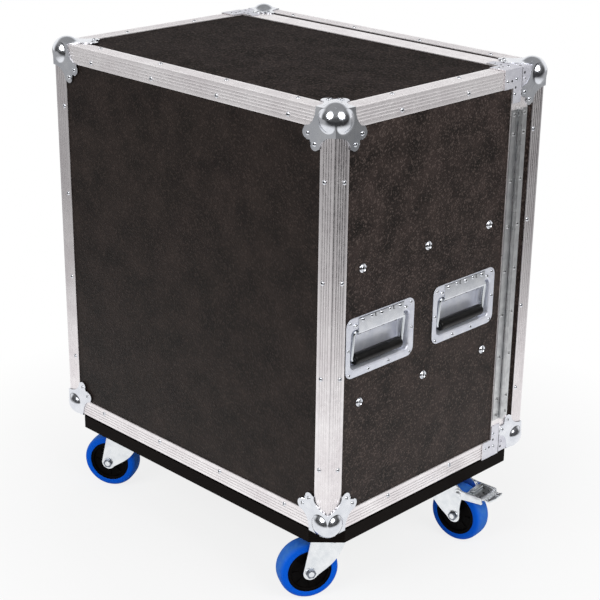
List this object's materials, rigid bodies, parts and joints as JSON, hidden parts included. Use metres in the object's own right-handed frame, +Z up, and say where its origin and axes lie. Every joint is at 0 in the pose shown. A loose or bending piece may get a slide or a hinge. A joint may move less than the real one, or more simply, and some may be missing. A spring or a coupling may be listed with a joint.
{
  "type": "flight case",
  "caption": "Plywood transport case with a side-hinged front door, aluminium edging, ball corners, recessed spring handles, turn latches, inner shelves and a board of swivel castors.",
  "frame": {"origin": "on the floor, under the middle of the whole outline, castors and brake pedals included", "axes": "+Z up; the door is the front and faces -Y; its hinge is on the -X side and its latches are on the +X side"},
  "size_m": [0.7366, 0.51, 0.8401],
  "materials": {
    "case_ply": "dark brown textured film on plywood, satin",
    "shelf_ply": "plain lacquered plywood",
    "board_ply": "black painted plywood, matt",
    "edging": "ribbed natural aluminium, satin",
    "zinc_steel": "bright zinc plated pressed steel",
    "grip_rubber": "black rubber sleeve on a chromed rod",
    "wheel_rubber": "blue elastic rubber tyre on a black nylon hub"
  },
  "bodies": {
    "case": {"base_panel": "case_ply", "top_panel": "case_ply", "back_panel": "case_ply", "left_panel": "case_ply", "right_panel": "case_ply", "lower_shelf": "shelf_ply", "upper_shelf": "shelf_ply", "castor_board": "board_ply", "back_edge_frame": "edging", "top_left_edge": "edging", "top_right_edge": "edging", "bottom_left_edge": "edging", "bottom_right_edge": "edging", "body_rim": "edging", "back_top_left_ball_corner": "zinc_steel", "back_top_right_ball_corner": "zinc_steel", "back_bottom_left_ball_corner": "zinc_steel", "back_bottom_right_ball_corner": "zinc_steel", "hinge_body_leaf": "zinc_steel", "hinge_pin": "zinc_steel", "left_back_handle_dish": "zinc_steel", "left_front_handle_dish": "zinc_steel", "right_back_handle_dish": "zinc_steel", "right_front_handle_dish": "zinc_steel", "lower_latch_dish": "zinc_steel", "upper_latch_dish": "zinc_steel", "back_left_castor_plate": "zinc_steel", "back_right_castor_plate": "zinc_steel", "front_left_castor_plate": "zinc_steel", "front_right_castor_plate": "zinc_steel"},
    "door": {"door_panel": "case_ply", "door_wall": "case_ply", "door_edge_frame": "edging", "door_rim": "edging", "door_top_left_ball_corner": "zinc_steel", "door_top_right_ball_corner": "zinc_steel", "door_bottom_left_ball_corner": "zinc_steel", "door_bottom_right_ball_corner": "zinc_steel", "hinge_door_leaf": "zinc_steel", "lower_latch_keeper": "zinc_steel", "upper_latch_keeper": "zinc_steel"},
    "back_left_fork": {"back_left_castor_fork": "zinc_steel"},
    "back_right_fork": {"back_right_castor_fork": "zinc_steel"},
    "front_left_fork": {"front_left_castor_fork": "zinc_steel"},
    "front_right_fork": {"front_right_castor_fork": "zinc_steel"},
    "back_left_wheel": {"back_left_castor_wheel": "wheel_rubber"},
    "back_right_wheel": {"back_right_castor_wheel": "wheel_rubber"},
    "front_left_wheel": {"front_left_castor_wheel": "wheel_rubber"},
    "front_right_wheel": {"front_right_castor_wheel": "wheel_rubber"},
    "front_left_pedal": {"front_left_castor_pedal": "zinc_steel"},
    "front_right_pedal": {"front_right_castor_pedal": "zinc_steel"},
    "left_back_bail": {"left_back_handle_bail": "grip_rubber"},
    "left_front_bail": {"left_front_handle_bail": "grip_rubber"},
    "right_back_bail": {"right_back_handle_bail": "grip_rubber"},
    "right_front_bail": {"right_front_handle_bail": "grip_rubber"},
    "lower_wing": {"lower_latch_wing": "zinc_steel"},
    "upper_wing": {"upper_latch_wing": "zinc_steel"},
    "lower_claw": {"lower_latch_claw": "zinc_steel"},
    "upper_claw": {"upper_latch_claw": "zinc_steel"}
  },
  "joints": [
    {"name": "door_hinge", "type": "hinge", "parent": "case", "child": "door", "pos_m": [-0.32035, -0.18208, 0.4911], "axis": [0, 0, 1], "range_deg": [-175, 0]},
    {"name": "back_left_swivel", "type": "hinge", "parent": "case", "child": "back_left_fork", "pos_m": [-0.25415, 0.17292, 0.1], "axis": [0, 0, 1], "continuous": true},
    {"name": "back_right_swivel", "type": "hinge", "parent": "case", "child": "back_right_fork", "pos_m": [0.25385, 0.17292, 0.1], "axis": [0, 0, 1], "continuous": true},
    {"name": "front_left_swivel", "type": "hinge", "parent": "case", "child": "front_left_fork", "pos_m": [-0.25415, -0.11508, 0.1], "axis": [0, 0, 1], "continuous": true},
    {"name": "front_right_swivel", "type": "hinge", "parent": "case", "child": "front_right_fork", "pos_m": [0.25385, -0.11508, 0.1], "axis": [0, 0, 1], "continuous": true},
    {"name": "back_left_spin", "type": "hinge", "parent": "back_left_fork", "child": "back_left_wheel", "pos_m": [-0.23601, 0.20631, 0.05], "axis": [-0.8788, 0.4772, 0], "continuous": true},
    {"name": "back_right_spin", "type": "hinge", "parent": "back_right_fork", "child": "back_right_wheel", "pos_m": [0.28709, 0.19134, 0.05], "axis": [-0.4848, 0.8746, 0], "continuous": true},
    {"name": "front_left_spin", "type": "hinge", "parent": "front_left_fork", "child": "front_left_wheel", "pos_m": [-0.2919, -0.11938, 0.05], "axis": [0.1132, -0.9936, 0], "continuous": true},
    {"name": "front_right_spin", "type": "hinge", "parent": "front_right_fork", "child": "front_right_wheel", "pos_m": [0.29148, -0.12037, 0.05], "axis": [0.1392, 0.9903, 0], "continuous": true},
    {"name": "front_left_brake", "type": "hinge", "parent": "front_left_fork", "child": "front_left_pedal", "pos_m": [-0.30084, -0.1204, 0.096], "axis": [0.1132, -0.9936, 0], "range_deg": [0, 14]},
    {"name": "front_right_brake", "type": "hinge", "parent": "front_right_fork", "child": "front_right_pedal", "pos_m": [0.3004, -0.12162, 0.096], "axis": [0.1392, 0.9903, 0], "range_deg": [0, 14]},
    {"name": "left_back_handle", "type": "hinge", "parent": "case", "child": "left_back_bail", "pos_m": [-0.31225, 0.13392, 0.4806], "axis": [0, 1, 0], "range_deg": [0, 90], "stiffness_Nm_per_rad": 0.15, "springref_deg": -17.19},
    {"name": "left_front_handle", "type": "hinge", "parent": "case", "child": "left_front_bail", "pos_m": [-0.31225, -0.06708, 0.4806], "axis": [0, 1, 0], "range_deg": [0, 90], "stiffness_Nm_per_rad": 0.15, "springref_deg": -17.19},
    {"name": "right_back_handle", "type": "hinge", "parent": "case", "child": "right_back_bail", "pos_m": [0.33495, 0.13392, 0.4806], "axis": [0, -1, 0], "range_deg": [0, 90], "stiffness_Nm_per_rad": 0.15, "springref_deg": -17.19},
    {"name": "right_front_handle", "type": "hinge", "parent": "case", "child": "right_front_bail", "pos_m": [0.33495, -0.06708, 0.4806], "axis": [0, -1, 0], "range_deg": [0, 90], "stiffness_Nm_per_rad": 0.15, "springref_deg": -17.19},
    {"name": "lower_wing_turn", "type": "hinge", "parent": "case", "child": "lower_wing", "pos_m": [0.335, -0.14308, 0.3021], "axis": [1, 0, 0], "range_deg": [0, 180]},
    {"name": "upper_wing_turn", "type": "hinge", "parent": "case", "child": "upper_wing", "pos_m": [0.335, -0.14308, 0.6721], "axis": [1, 0, 0], "range_deg": [0, 180]},
    {"name": "lower_claw_hook", "type": "hinge", "parent": "case", "child": "lower_claw", "pos_m": [0.33385, -0.17408, 0.3021], "axis": [0, 0, -1], "range_deg": [0, 20]},
    {"name": "upper_claw_hook", "type": "hinge", "parent": "case", "child": "upper_claw", "pos_m": [0.33385, -0.17408, 0.6721], "axis": [0, 0, -1], "range_deg": [0, 20]}
  ],
  "couplings": [
    {"joint": "lower_claw_hook", "follows": "lower_wing_turn", "ratio": 0.11111},
    {"joint": "upper_claw_hook", "follows": "upper_wing_turn", "ratio": 0.11111}
  ]
}
